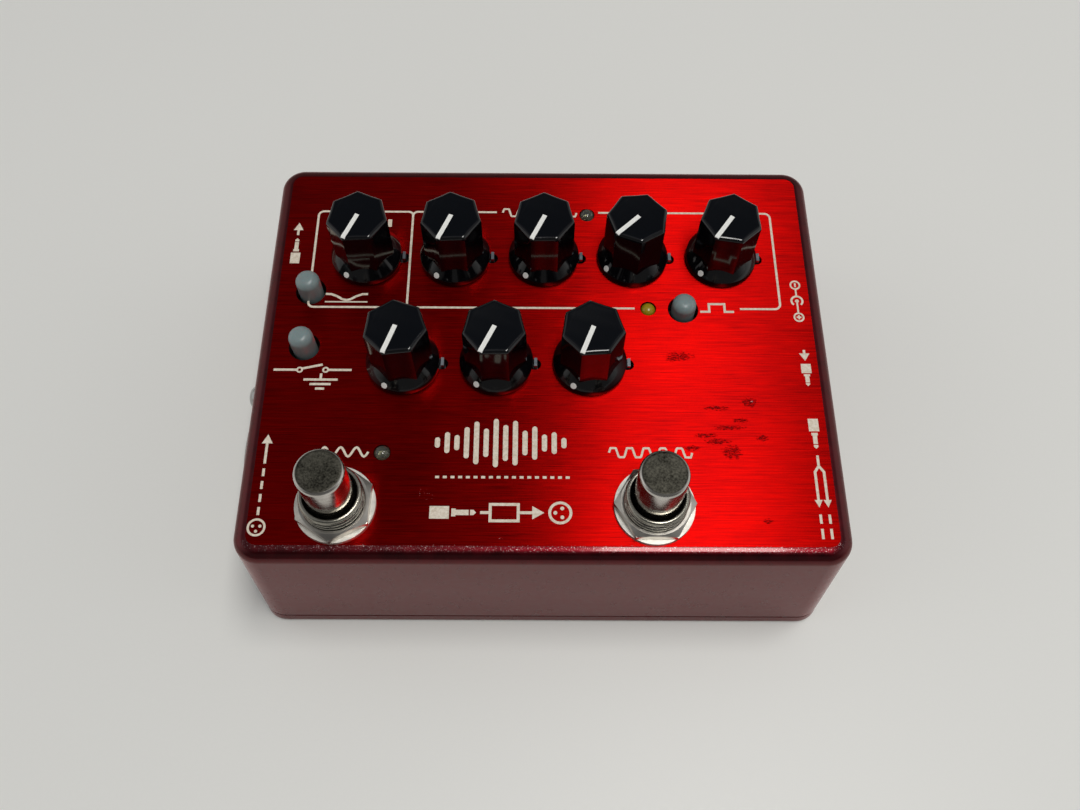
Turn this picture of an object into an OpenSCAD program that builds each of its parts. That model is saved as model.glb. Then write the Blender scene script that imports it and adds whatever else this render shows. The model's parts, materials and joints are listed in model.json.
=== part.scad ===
// Direct injection box for bass guitar: a drafted die-cast case with eight rotary controls,
// three latching push buttons and two foot switches, jack and XLR sockets in its sides,
// and a circuit board and a 9 V battery inside.
// Millimetres. X runs to the right, Y to the rear and Z up. The origin is the middle of the
// base, on the surface that the box stands on.

/* [Case] */
// Width across the base
box_w = 119.5; // [119:0.5:124]
// Depth across the base
box_d = 94; // [93.5:0.5:98]
// Height of the top panel above the base
box_h = 38; // [38:0.5:42]
// How far each wall leans in between the base and the top panel
draft = 1.95; // [1.5:0.05:2.2]
// Radius of the upright corners
corner_r = 5; // [5:0.5:7]
// Radius of the top edges
edge_r = 2.8; // [2:0.1:3.5]
// Thickness of the cast walls and of the top panel
wall = 2.4; // [2.2:0.1:2.6]
// Height of the base cover's edge
cover_h = 3.6; // [3.2:0.1:4]

/* [Rotary controls] */
// Distance between neighbouring controls in a row
knob_pitch = 18.65; // [18:0.05:19]
// Distance of the rear row behind the middle
upper_y = 21; // [20.5:0.1:22]
// Distance of the front row behind the middle
lower_y = -4.4; // [-5:0.1:-3.5]
// Place of the front row's first control to the right of the middle
lower_x = -28.1; // [-29:0.1:-27]
// Diameter of a knob's round skirt
skirt_d = 14.7; // [14.5:0.1:15.2]
// Diameter round the corners of a knob's grip
grip_d = 12.6; // [12.2:0.1:12.8]
// Height of a knob's top above the panel
knob_top = 14.9; // [14:0.1:16]

/* [Push buttons] */
// Diameter of a push button
push_d = 4.9; // [4.5:0.1:5.2]
// Height of a push button above the panel when it is out
push_top = 5.2; // [5:0.1:5.6]
// How far a latched push button stays down
latch_drop = 1.7; // [1.4:0.1:1.8]

/* [Foot switches] */
// Diameter of a foot switch button
foot_d = 9; // [8.6:0.1:9.2]
// Height of a foot switch button above the panel
foot_top = 17.3; // [16:0.1:18]
// Distance across the flats of a foot switch nut
foot_nut = 13.4; // [13.2:0.1:14]

/* [Sockets] */
// Height of the jack and power sockets above the base
socket_z = 17.5; // [17:0.1:18]
// Height of the XLR socket above the base
xlr_z = 20; // [20:0.1:20.5]
// Bore of a jack socket
jack_bore = 6.4; // [6.35:0.05:6.5]

/* [Hidden] */
$fn = 64;
EPS = 0.01;

under_z = box_h - wall;
side_lean = atan(draft / box_h);
boss_x = box_w / 2 - 7;
boss_y = box_d / 2 - 7;
boss_r = 4;
screw_r = 1.6;

board_t = 1.6;
board_top = under_z - 8;
board_z = board_top - board_t;
board_front = -26;
board_rear = 41;
board_left = -42;

upper_spots = [for (i = [-2:2]) [i * knob_pitch, upper_y]];
lower_spots = [for (i = [0:2]) [lower_x + i * knob_pitch, lower_y]];
knob_spots = concat(upper_spots, lower_spots);
// Direction of each knob's pointer, in degrees from +X
pointers = [-113, -113, -115, -136.5, -125, -109, -115, -111];

pot_r = 8.25;
pot_h = 7;
bushing_r = 3.5;
bushing_top = 2.4;
shaft_r = 3;
shaft_gap = 0.05;
tab_x = skirt_d / 2 + 0.5;
tab_size = [0.6, 1.8];
tab_top = 1.1;

skirt_gap = 0.5;
skirt_top = 1.9;
cone_r = 5.2;
cone_top = 4.8;
knob_hollow_r = 5.6;
knob_hollow_top = 2.7;
bore_top = 12.5;

output_push = [-48.4, 12.6];
ground_push = [-48.4, -0.6];
gate_push = [28.8, 8.6];
push_spots = [output_push, ground_push, gate_push];
push_hole_r = 3.05;
push_body = [7, 7, 6];
cap_length = push_top + 2;
plunger_r = 1.5;
plunger_up = 2.6;
plunger_down = 5.7;

effect_spot = [-31.05, -23.8];
distortion_spot = [9.35, 32.4];
gate_spot = [21.6, 8.8];
led_r = 1.5;
led_hole_r = 1.65;

foot_spots = [[-38.9, -34.7], [20.8, -34.7]];
foot_can_r = 7;
foot_can_h = 17.4;
foot_thread_r = 6;
foot_thread_top = 6.8;
foot_bore_r = foot_d / 2 + 0.25;
foot_hole_r = 6.15;
foot_washer_t = 1;
foot_nut_t = 2;
foot_turns = [27, 0];
foot_stroke = 3;

output_jack_y = 24.7;
input_jack_y = -4.9;
parallel_jack_y = -28.6;
jack_thread_r = 4.75;
jack_body = [14.4, 14, 24];
jack_proud = 3;
jack_washer_t = 0.6;
jack_nut_t = 2.1;
jack_nut = 12.7;

dc_y = 10.8;
dc_nose_r = 5.5;
dc_cavity_r = 3;
dc_cavity = 9.5;
dc_pin_r = 1.05;
dc_stem_r = 0.85;
dc_proud = 0.8;

xlr_y = -20;
xlr_ring_r = 11.8;
xlr_proud = 1.3;
xlr_flange = [26, 31, 2];
xlr_body_r = 9.5;
xlr_depth = 13.8;
xlr_cavity_r = 8.1;
xlr_cavity = 12.4;
xlr_pin_r = 1.2;
xlr_stem_r = 1;
xlr_pin_ring = 4.1;
xlr_screw = [9.5, 12];

battery_size = [46.5, 26.5, 17.5];
battery_spot = [-5, 6];
cover_t = 2.4;
battery_end = battery_spot[0] + battery_size[0] / 2;
stud_spots = [[-6.35, 2.9], [6.35, 3.6]];

chip_xs = [-35, -20, -5, 10];
can_xs = [-40, -32, -24, -16, -8, 20, 28, 36];
film_xs = [-20, -9, 2, 13, 24];

// ---- Shared shapes ----

// Distance of a side wall's and an end wall's outer face from the middle at height z
function half_w(z) = box_w / 2 - draft * z / box_h;
function half_d(z) = box_d / 2 - draft * z / box_h;

// Puts its children on the outer face of a side wall, with +Z pointing straight out of it
module on_side(side, y, z) {
    translate([side * half_w(z), y, z])
        rotate([0, side * (90 - side_lean), 0])
            children();
}

// Repeats its children at the four corners of a rectangle
module at_corners(x, y) {
    for (sx = [-1, 1], sy = [-1, 1])
        translate([sx * x, sy * y, 0])
            children();
}

// Rounded rectangle of half sizes x and y
module plan(x, y, r) {
    square([2 * (x - r), 2 * y], center = true);
    square([2 * x, 2 * (y - r)], center = true);
    at_corners(x - r, y - r)
        circle(r = r);
}

// Solid of revolution with a rounded upper edge, standing on z = 0
module round_top(r, h, edge) {
    rotate_extrude() {
        square([r, h - edge]);
        square([r - edge, h]);
        translate([r - edge, h - edge])
            intersection() {
                circle(r = edge);
                square(edge);
            }
    }
}

// Tube from z = 0
module tube(outer_r, inner_r, h) {
    difference() {
        cylinder(r = outer_r, h = h);
        translate([0, 0, -1])
            cylinder(r = inner_r, h = h + 2);
    }
}

// Hexagon nut with its upper corners chamfered
module hex_nut(flats, hole_r, t) {
    difference() {
        intersection() {
            cylinder(r = flats / 2 / cos(30), h = t, $fn = 6);
            rotate_extrude()
                polygon([[0, 0], [flats, 0], [flats / 2 + 0.9, t - 0.7], [flats / 2 - 0.2, t], [0, t]]);
        }
        translate([0, 0, -1])
            cylinder(r = hole_r, h = t + 2);
    }
}

// Points of a smooth curve through p, steps to each span
function curve_point(a, b, c, d, t) =
    ((2 * b) + (c - a) * t + (2 * a - 5 * b + 4 * c - d) * t * t + (3 * b - a - 3 * c + d) * t * t * t) / 2;
function smooth(p, steps) = [
    for (i = [0:len(p) - 2], j = [0:steps - 1])
        curve_point(p[max(i - 1, 0)], p[i], p[i + 1], p[min(i + 2, len(p) - 1)], j / steps),
    p[len(p) - 1]
];
function unit(v) = v / norm(v);
function heading(p, i) = unit(p[min(i + 1, len(p) - 1)] - p[max(i - 1, 0)]);
function ring(centre, dir, side, r, n) = [
    for (k = [0:n - 1])
        centre + r * (cos(360 * k / n) * side + sin(360 * k / n) * cross(dir, side))
];

// Wire of radius r along the points p, which lie near a plane whose normal is side
module wire(p, r, side) {
    n = 8;
    path = smooth(p, 3);
    last = len(path) - 1;
    points = [for (i = [0:last]) each
        ring(path[i], heading(path, i), unit(side - (side * heading(path, i)) * heading(path, i)), r, n)];
    sides = [for (i = [0:last - 1], k = [0:n - 1])
        [(i + 1) * n + k, (i + 1) * n + (k + 1) % n, i * n + (k + 1) % n, i * n + k]];
    start_cap = [[for (k = [0:n - 1]) k]];
    end_cap = [[for (k = [0:n - 1]) last * n + n - 1 - k]];
    polyhedron(points, concat(sides, start_cap, end_cap));
}

// ---- Case ----

module case_shell() {
    top_z = box_h - edge_r;
    hull() {
        at_corners(half_w(cover_h) - corner_r, half_d(cover_h) - corner_r)
            translate([0, 0, cover_h])
                cylinder(r = corner_r, h = EPS, $fn = 32);
        at_corners(half_w(top_z) - corner_r, half_d(top_z) - corner_r)
            translate([0, 0, top_z - EPS])
                round_top(corner_r, edge_r + EPS, edge_r, $fn = 32);
    }
}

module case_cavity() {
    inner_r = corner_r - wall;
    hull()
        for (z = [cover_h - 1, under_z - EPS])
            at_corners(half_w(z) - wall - inner_r, half_d(z) - wall - inner_r)
                translate([0, 0, z])
                    cylinder(r = inner_r, h = EPS, $fn = 32);
}

module panel_hole(spot, r) {
    translate([spot[0], spot[1], under_z - 1])
        cylinder(r = r, h = wall + 2);
}

// Round-ended slot for the tab that keeps a control from turning
module tab_slot(spot) {
    slot_r = 1.2;
    translate([spot[0] + tab_x, spot[1], under_z - 1])
        for (dx = [-0.85, -0.6, -0.35, -0.1])
            translate([dx, 0, 0])
                cylinder(r = slot_r, h = wall + 2);
}

module enclosure() {
    color("firebrick")
        difference() {
            union() {
                difference() {
                    case_shell();
                    case_cavity();
                }
                at_corners(boss_x, boss_y)
                    translate([0, 0, cover_h])
                        cylinder(r = boss_r, h = under_z - cover_h + 1);
            }
            at_corners(boss_x, boss_y)
                translate([0, 0, cover_h - 1])
                    cylinder(r = screw_r, h = 14);
            for (spot = knob_spots) {
                panel_hole(spot, bushing_r + 0.1);
                tab_slot(spot);
            }
            for (spot = push_spots)
                panel_hole(spot, push_hole_r);
            for (spot = [effect_spot, distortion_spot, gate_spot])
                panel_hole(spot, led_hole_r);
            for (spot = foot_spots)
                panel_hole(spot, foot_hole_r);
            side_hole(-1, output_jack_y, socket_z, jack_thread_r + 0.1);
            side_hole(1, input_jack_y, socket_z, jack_thread_r + 0.1);
            side_hole(1, parallel_jack_y, socket_z, jack_thread_r + 0.1);
            side_hole(1, dc_y, socket_z, dc_nose_r + 0.1);
            side_hole(-1, xlr_y, xlr_z, xlr_ring_r + 0.1);
            on_side(-1, xlr_y, xlr_z)
                for (s = [-1, 1])
                    translate([s * xlr_screw[0], s * xlr_screw[1], -wall - 2])
                        cylinder(r = screw_r, h = wall + 4);
        }
}

module side_hole(side, y, z, r) {
    on_side(side, y, z)
        translate([0, 0, -wall - 2])
            cylinder(r = r, h = wall + 4);
}

module cover_slab() {
    cover_edge = 1;
    hull() {
        at_corners(half_w(0) - corner_r, half_d(0) - corner_r)
            translate([0, 0, cover_edge + EPS])
                mirror([0, 0, 1])
                    round_top(corner_r, cover_edge + EPS, cover_edge, $fn = 32);
        at_corners(half_w(cover_h) - corner_r, half_d(cover_h) - corner_r)
            translate([0, 0, cover_h - 0.2])
                cylinder(r = corner_r, h = EPS, $fn = 32);
    }
}

module base_cover() {
    inner_x = half_w(cover_h) - wall - 0.4;
    inner_y = half_d(cover_h) - wall - 0.4;
    rim_t = 1.4;
    rim_top = cover_h + 1.8;
    color("firebrick")
        difference() {
            union() {
                difference() {
                    cover_slab();
                    translate([0, 0, cover_t])
                        linear_extrude(cover_h)
                            plan(inner_x - rim_t, inner_y - rim_t, 2);
                }
                difference() {
                    translate([0, 0, cover_t])
                        linear_extrude(rim_top - cover_t)
                            plan(inner_x, inner_y, 2.4);
                    translate([0, 0, cover_t - 1])
                        linear_extrude(rim_top)
                            plan(inner_x - rim_t, inner_y - rim_t, 2);
                    at_corners(boss_x, boss_y)
                        translate([-7, -7, cover_h - 0.2])
                            cube([14, 14, 4]);
                }
                at_corners(boss_x, boss_y)
                    cylinder(r = boss_r, h = cover_h - 0.2);
            }
            at_corners(boss_x, boss_y)
                cover_screw_shape(1);
        }
}

// Countersunk screw; grow lengthens both ends so that it can cut its own hole
module cover_screw_shape(grow) {
    head_r = 3.4;
    head_z = 0.3;
    cone_z = 2.1;
    rotate_extrude()
        polygon([[0, head_z - grow], [head_r, head_z - grow], [head_r, head_z],
            [screw_r, cone_z], [screw_r, cover_h + 9 + grow], [0, cover_h + 9 + grow]]);
}

module cover_screws() {
    color("silver")
        at_corners(boss_x, boss_y)
            difference() {
                cover_screw_shape(0);
                for (turn = [0, 90])
                    rotate(turn)
                        translate([-2, -0.4, 0])
                            cube([4, 0.8, 1.3]);
            }
}

// ---- Circuit board ----

module main_board() {
    notch = 6;
    color("darkgreen")
        translate([0, 0, board_z])
            linear_extrude(board_t)
                difference() {
                    translate([-53.5, board_front])
                        square([107, board_rear - board_front]);
                    translate([-60, board_front - 1])
                        square([60 + board_left, 23]);
                    for (sx = [-1, 1])
                        translate([sx * 54, board_rear])
                            square([2 * notch, 2 * notch], center = true);
                }
}

module ic_packages() {
    chip = [9.4, 6.4, 3];
    color("dimgray")
        for (x = chip_xs)
            translate([x, 8.3, board_top]) {
                translate([-chip[0] / 2, -chip[1] / 2, 0.6])
                    cube(chip);
                for (i = [-1.5:1.5], s = [-1, 1])
                    translate([i * 2.2 - 0.3, s * (chip[1] / 2 - 0.2) - 0.2, 0])
                        cube([0.6, 0.4, 1]);
            }
}

module electrolytic_capacitors() {
    color("midnightblue")
        for (x = can_xs)
            translate([x, 36, board_top])
                round_top(2.5, 6.5, 0.5);
}

module film_capacitors() {
    color("goldenrod")
        for (x = film_xs)
            translate([x - 3.6, -19.3, board_top])
                cube([7.2, 2.6, 6]);
}

module resistors() {
    color("tan")
        for (x = film_xs)
            translate([x, -23, board_top]) {
                translate([-3.15, 0, 1.4])
                    rotate([0, 90, 0])
                        cylinder(r = 1.1, h = 6.3, $fn = 32);
                for (s = [-1, 1])
                    translate([s * 3.4 - 0.3, -0.3, 0])
                        cube([0.6, 0.6, 1.7]);
            }
}

// ---- Rotary controls ----

module potentiometer(spot) {
    translate([spot[0], spot[1], 0])
        difference() {
            union() {
                translate([0, 0, under_z - pot_h])
                    cylinder(r = pot_r, h = pot_h);
                translate([0, 0, under_z - EPS])
                    cylinder(r = bushing_r, h = wall + bushing_top + EPS);
                translate([tab_x - tab_size[0] / 2, -tab_size[1] / 2, under_z - 1])
                    cube([tab_size[0], tab_size[1], wall + 1 + tab_top]);
                for (dx = [-5, 0, 5])
                    translate([dx - 0.5, -5.5, board_top])
                        cube([1, 1, under_z - pot_h - board_top + 1]);
            }
            translate([0, 0, under_z - pot_h + 1.5])
                cylinder(r = shaft_r + shaft_gap, h = 20);
        }
}

module upper_potentiometers() {
    color("darkgray")
        for (spot = upper_spots)
            potentiometer(spot);
}

module lower_potentiometers() {
    color("darkgray")
        for (spot = lower_spots)
            potentiometer(spot);
}

module pot_washers() {
    color("silver")
        for (spot = knob_spots)
            translate([spot[0], spot[1], box_h])
                tube(5.2, bushing_r, 0.5);
}

module pot_nuts() {
    color("silver")
        for (spot = knob_spots)
            translate([spot[0], spot[1], box_h + 0.5])
                hex_nut(9.4, bushing_r, 1.8);
}

// Seven-sided grip with slightly hollow sides and its first corner under the pointer
module knob_grip(low, high) {
    hollow_r = 26;
    sharp_r = grip_d / 2 + 0.2;
    intersection() {
        translate([0, 0, low])
            cylinder(r = grip_d / 2, h = high - low, $fn = 96);
        difference() {
            translate([0, 0, low - 0.5])
                cylinder(r = sharp_r, h = high - low + 1, $fn = 7);
            for (k = [0:6])
                rotate(360 / 7 * (k + 0.5))
                    translate([sharp_r * cos(180 / 7) + hollow_r - 0.2, 0, low - 1])
                        cylinder(r = hollow_r, h = high - low + 2, $fn = 180);
        }
    }
}

module knob(i) {
    spot = knob_spots[i];
    color([0.08, 0.08, 0.1])
        translate([spot[0], spot[1], box_h])
            rotate(pointers[i])
                difference() {
                    union() {
                        rotate_extrude()
                            polygon([[0, skirt_gap], [skirt_d / 2, skirt_gap], [skirt_d / 2, skirt_top],
                                [cone_r, cone_top], [0, cone_top]]);
                        knob_grip(skirt_top - 0.6, knob_top);
                    }
                    translate([0, 0, -1])
                        cylinder(r = knob_hollow_r, h = knob_hollow_top + 1);
                    cylinder(r = shaft_r, h = bore_top);
                }
}

module shaft(i) {
    spot = knob_spots[i];
    start = under_z - pot_h + 2;
    color("silver")
        translate([spot[0], spot[1], start])
            cylinder(r = shaft_r, h = box_h + bore_top - start);
}

// ---- Push buttons ----

module push_switch_bodies() {
    color("black")
        for (spot = push_spots)
            translate([spot[0], spot[1], board_top])
                difference() {
                    translate([-push_body[0] / 2, -push_body[1] / 2, 0])
                        cube(push_body);
                    translate([0, 0, 0.3])
                        cylinder(r = plunger_r + 0.06, h = push_body[2]);
                }
}

// Domed cap; drop is how far it is latched down
module push_cap(spot, drop) {
    color([0.62, 0.66, 0.67])
        translate([spot[0], spot[1], box_h + push_top - cap_length - drop])
            difference() {
                round_top(push_d / 2, cap_length, 1.7);
                translate([0, 0, -EPS])
                    cylinder(r = plunger_r, h = plunger_up);
            }
}

module plunger(spot, drop) {
    color("whitesmoke")
        translate([spot[0], spot[1], box_h + push_top - cap_length - drop - plunger_down])
            cylinder(r = plunger_r, h = plunger_down + plunger_up - EPS);
}

// ---- Indicators ----

module led(spot, proud) {
    flange_r = 1.9;
    translate([spot[0], spot[1], 0]) {
        translate([0, 0, under_z - 1.2])
            cylinder(r = flange_r, h = 1);
        translate([0, 0, under_z - 0.3])
            round_top(led_r, wall + 0.3 + proud, 1.3);
        for (s = [-1, 1])
            translate([s * 0.9 - 0.25, -0.25, board_top])
                cube([0.5, 0.5, under_z - 1.1 - board_top]);
    }
}

module clear_leds() {
    color([0.85, 0.87, 0.8])
        for (spot = [effect_spot, distortion_spot])
            led(spot, 0.9);
}

module gate_led() {
    color([0.62, 0.62, 0.1])
        led(gate_spot, 0.6);
}

// ---- Foot switches ----

module footswitch_bodies() {
    color("gray")
        for (spot = foot_spots)
            translate([spot[0], spot[1], 0])
                difference() {
                    union() {
                        translate([0, 0, under_z - foot_can_h])
                            cylinder(r = foot_can_r, h = foot_can_h);
                        translate([0, 0, under_z])
                            cylinder(r = foot_thread_r, h = wall + foot_thread_top - 0.6);
                        translate([0, 0, box_h + foot_thread_top - 0.6])
                            cylinder(r1 = foot_thread_r, r2 = foot_thread_r - 0.5, h = 0.6);
                    }
                    translate([0, 0, under_z - 10])
                        cylinder(r = foot_bore_r, h = 40);
                }
}

module footswitch_lugs() {
    color("silver")
        for (spot = foot_spots, dx = [-2.4, 2.4])
            translate([spot[0] + dx - 1, spot[1] - 0.4, under_z - foot_can_h - 4])
                cube([2, 0.8, 4]);
}

module footswitch_washers() {
    color("silver")
        for (spot = foot_spots)
            translate([spot[0], spot[1], box_h])
                tube(7.6, foot_thread_r + 0.1, foot_washer_t);
}

module footswitch_nuts() {
    color("silver")
        for (i = [0, 1])
            translate([foot_spots[i][0], foot_spots[i][1], box_h + foot_washer_t])
                rotate(foot_turns[i])
                    hex_nut(foot_nut, foot_thread_r, foot_nut_t);
}

module foot_button(spot) {
    length = foot_top + wall + 5.5;
    color("lightgray")
        translate([spot[0], spot[1], box_h + foot_top - length])
            round_top(foot_d / 2, length, 0.9);
}

// ---- Sockets ----

module jack(side, y) {
    color("dimgray")
        on_side(side, y, socket_z)
            difference() {
                union() {
                    translate([-jack_body[0] / 2, -jack_body[1] / 2, -wall - 0.1 - jack_body[2]])
                        cube(jack_body);
                    translate([0, 0, -wall - 1])
                        cylinder(r = jack_thread_r, h = wall + 1 + jack_proud);
                }
                translate([0, 0, -40])
                    cylinder(d = jack_bore, h = 60);
            }
}

module at_jacks() {
    on_side(-1, output_jack_y, socket_z)
        children();
    on_side(1, input_jack_y, socket_z)
        children();
    on_side(1, parallel_jack_y, socket_z)
        children();
}

// Tip spring of each jack: a leaf beside the bore, with its solder end
module jack_contacts() {
    color("gold")
        at_jacks()
            translate([-2, jack_bore / 2 + 0.5, -wall - jack_body[2] - 3.1])
                cube([4, 0.4, 3]);
}

module jack_washers() {
    color("silver")
        at_jacks()
            tube(7.4, jack_thread_r + 0.1, jack_washer_t);
}

module jack_nuts() {
    color("silver")
        at_jacks()
            translate([0, 0, jack_washer_t])
                rotate(15)
                    hex_nut(jack_nut, jack_thread_r, jack_nut_t);
}

module xlr_shell() {
    color("darkgray")
        on_side(-1, xlr_y, xlr_z)
            difference() {
                union() {
                    translate([0, 0, -wall - 1])
                        cylinder(r = xlr_ring_r, h = wall + 0.6 + xlr_proud);
                    translate([0, 0, xlr_proud - 0.4])
                        cylinder(r1 = xlr_ring_r, r2 = xlr_ring_r - 0.4, h = 0.4);
                    translate([-xlr_flange[0] / 2, -xlr_flange[1] / 2, -wall - xlr_flange[2] - 0.1])
                        cube(xlr_flange);
                    translate([0, 0, -xlr_depth])
                        cylinder(r = xlr_body_r, h = xlr_depth);
                }
                translate([0, 0, -xlr_depth - 1])
                    cylinder(r = xlr_cavity_r, h = xlr_depth + 10);
                for (s = [-1, 1])
                    translate([s * xlr_screw[0], s * xlr_screw[1], -10])
                        cylinder(r = screw_r, h = 10);
            }
}

module xlr_insert() {
    color("black")
        on_side(-1, xlr_y, xlr_z)
            difference() {
                translate([0, 0, -xlr_depth])
                    cylinder(r = xlr_cavity_r, h = xlr_depth + xlr_proud - xlr_cavity);
                at_xlr_pins()
                    translate([0, 0, -xlr_depth - 1])
                        cylinder(r = xlr_stem_r, h = 10);
            }
}

// Three contacts a quarter turn apart, with the gap between the outer two at the top
module at_xlr_pins() {
    for (turn = [90, 180, 270])
        rotate(turn)
            translate([xlr_pin_ring, 0, 0])
                children();
}

module xlr_pins() {
    tail = 3;
    shoulder = xlr_proud - xlr_cavity + 0.2;
    color("silver")
        on_side(-1, xlr_y, xlr_z)
            at_xlr_pins() {
                translate([0, 0, -xlr_depth - tail])
                    cylinder(r = xlr_stem_r, h = xlr_depth + tail + shoulder + 1);
                translate([0, 0, shoulder])
                    round_top(xlr_pin_r, -1 - shoulder, 0.8);
            }
}

module xlr_screws() {
    head_r = 2.6;
    head_h = 2.2;
    color("silver")
        on_side(-1, xlr_y, xlr_z)
            for (s = [-1, 1])
                translate([s * xlr_screw[0], s * xlr_screw[1], 0])
                    difference() {
                        union() {
                            round_top(head_r, head_h, 1.9);
                            translate([0, 0, -wall - xlr_flange[2]])
                                cylinder(r = screw_r, h = wall + xlr_flange[2] + 1);
                        }
                        for (turn = [0, 90])
                            rotate(turn)
                                translate([-1.3, -0.3, head_h - 1])
                                    cube([2.6, 0.6, 2]);
                    }
}

module dc_jack() {
    body = [11, 10, 13];
    color("black")
        on_side(1, dc_y, socket_z)
            difference() {
                union() {
                    translate([0, 0, -wall - 1])
                        cylinder(r = dc_nose_r, h = wall + 1 + dc_proud);
                    translate([-body[0] / 2, -body[1] / 2, -wall - 0.1 - body[2]])
                        cube(body);
                }
                translate([0, 0, dc_proud - dc_cavity])
                    cylinder(r = dc_cavity_r, h = 20);
                translate([0, 0, -20])
                    cylinder(r = dc_stem_r, h = 20);
            }
}

module dc_jack_pin() {
    tail = 18;
    shoulder = dc_proud - dc_cavity + 0.2;
    color("silver")
        on_side(1, dc_y, socket_z) {
            translate([0, 0, -tail])
                cylinder(r = dc_stem_r, h = tail + shoulder + 1);
            translate([0, 0, shoulder])
                round_top(dc_pin_r, -0.2 - shoulder, 0.5);
        }
}

// ---- Battery ----

module battery() {
    color("darkorange")
        translate([battery_end - battery_size[0], battery_spot[1] - battery_size[1] / 2, cover_t])
            cube(battery_size);
    color("silver")
        for (stud = stud_spots)
            translate([battery_end - EPS, battery_spot[1] + stud[0], cover_t + battery_size[2] / 2])
                rotate([0, 90, 0])
                    cylinder(r = stud[1] - 0.3, h = 1.9);
}

module battery_pad() {
    color("slategray")
        translate([battery_spot[0] - 20, battery_spot[1] - 10, cover_t + battery_size[2]])
            cube([40, 20, 5]);
}

module battery_snap() {
    size = [3.4, 25, 12.5];
    color("black")
        translate([battery_end + 0.1, battery_spot[1], cover_t + battery_size[2] / 2])
            difference() {
                translate([0, -size[1] / 2, -size[2] / 2])
                    cube(size);
                for (stud = stud_spots)
                    translate([-1, stud[0], 0])
                        rotate([0, 90, 0])
                            cylinder(r = stud[1], h = 3.2);
            }
}

module battery_leads() {
    x = battery_end + 3.5;
    z = cover_t + battery_size[2] / 2;
    rise_x = x + 5;
    color("crimson")
        wire([[x, 10, z], [x + 1, 10, z], [x + 2, 10, z], [rise_x, 10, z + 4], [rise_x, 10, 20],
            [rise_x, 10, board_z]], 0.7, [0, 1, 0]);
    color("black")
        wire([[x, 2, z], [x + 1, 2, z], [x + 2, 2, z], [rise_x, 4, z + 4], [rise_x, 5, 20],
            [rise_x, 5, board_z]], 0.7, [0, 1, 0]);
}

// Wires from the foot switch lugs and the XLR contacts up to the board's underside
module hookup_wires() {
    wire_r = 0.5;
    lug_z = under_z - foot_can_h - 4;
    xlr_x = -41.3;
    xlr_side_z = 19.1;
    xlr_low_z = 15;
    color("gold")
        for (spot = foot_spots, dx = [-2.4, 2.4]) {
            x = spot[0] + dx;
            wire([[x, -34.7, lug_z], [x, -34.2, lug_z - 2], [x, -31, lug_z - 3.5],
                [x + 0.4, -27.5, lug_z - 1], [x + 0.8, -25.5, lug_z + 4],
                [x + 0.8, -25.3, board_z - 3], [x + 0.8, -25.3, board_z]],
                wire_r, [1, 0, 0]);
        }
    color("seashell") {
        wire([[xlr_x, -24.1, xlr_side_z], [-39.6, -23.6, xlr_side_z], [-38.4, -22.6, 20.6], [-38, -22, 23],
            [-38, -22, board_z]], wire_r, [0, 1, 0]);
        wire([[xlr_x, -20, xlr_low_z], [-39, -20, xlr_low_z], [-36, -20, 17.5], [-35.5, -20, 21],
            [-35.5, -20, board_z]], wire_r, [0, 1, 0]);
        wire([[xlr_x, -15.9, xlr_side_z], [-39.6, -16.4, xlr_side_z], [-38.4, -17.4, 20.6], [-38, -18, 23],
            [-38, -18, board_z]], wire_r, [0, 1, 0]);
    }
}

enclosure();
base_cover();
cover_screws();
main_board();
ic_packages();
electrolytic_capacitors();
film_capacitors();
resistors();
upper_potentiometers();
lower_potentiometers();
pot_washers();
pot_nuts();
push_switch_bodies();
clear_leds();
gate_led();
footswitch_bodies();
footswitch_lugs();
footswitch_washers();
footswitch_nuts();
jack(-1, output_jack_y);  // output_jack
jack(1, input_jack_y);  // input_jack
jack(1, parallel_jack_y);  // parallel_jack
jack_contacts();
jack_washers();
jack_nuts();
xlr_shell();
xlr_insert();
xlr_pins();
xlr_screws();
dc_jack();
dc_jack_pin();
battery();
battery_pad();
battery_snap();
battery_leads();
hookup_wires();
knob(0);  // knob_upper_1
knob(1);  // knob_upper_2
knob(2);  // knob_upper_3
knob(3);  // knob_upper_4
knob(4);  // knob_upper_5
knob(5);  // knob_lower_1
knob(6);  // knob_lower_2
knob(7);  // knob_lower_3
shaft(0);  // shaft_upper_1
shaft(1);  // shaft_upper_2
shaft(2);  // shaft_upper_3
shaft(3);  // shaft_upper_4
shaft(4);  // shaft_upper_5
shaft(5);  // shaft_lower_1
shaft(6);  // shaft_lower_2
shaft(7);  // shaft_lower_3
push_cap(output_push, 0);  // output_level_button
push_cap(ground_push, 0);  // ground_lift_button
push_cap(gate_push, latch_drop);  // gate_button
plunger(output_push, 0);  // output_level_plunger
plunger(ground_push, 0);  // ground_lift_plunger
plunger(gate_push, latch_drop);  // gate_plunger
foot_button(foot_spots[0]);  // left_foot_button
foot_button(foot_spots[1]);  // right_foot_button
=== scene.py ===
import json
import math
import bmesh
import bpy
from mathutils import Matrix, Vector


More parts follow.
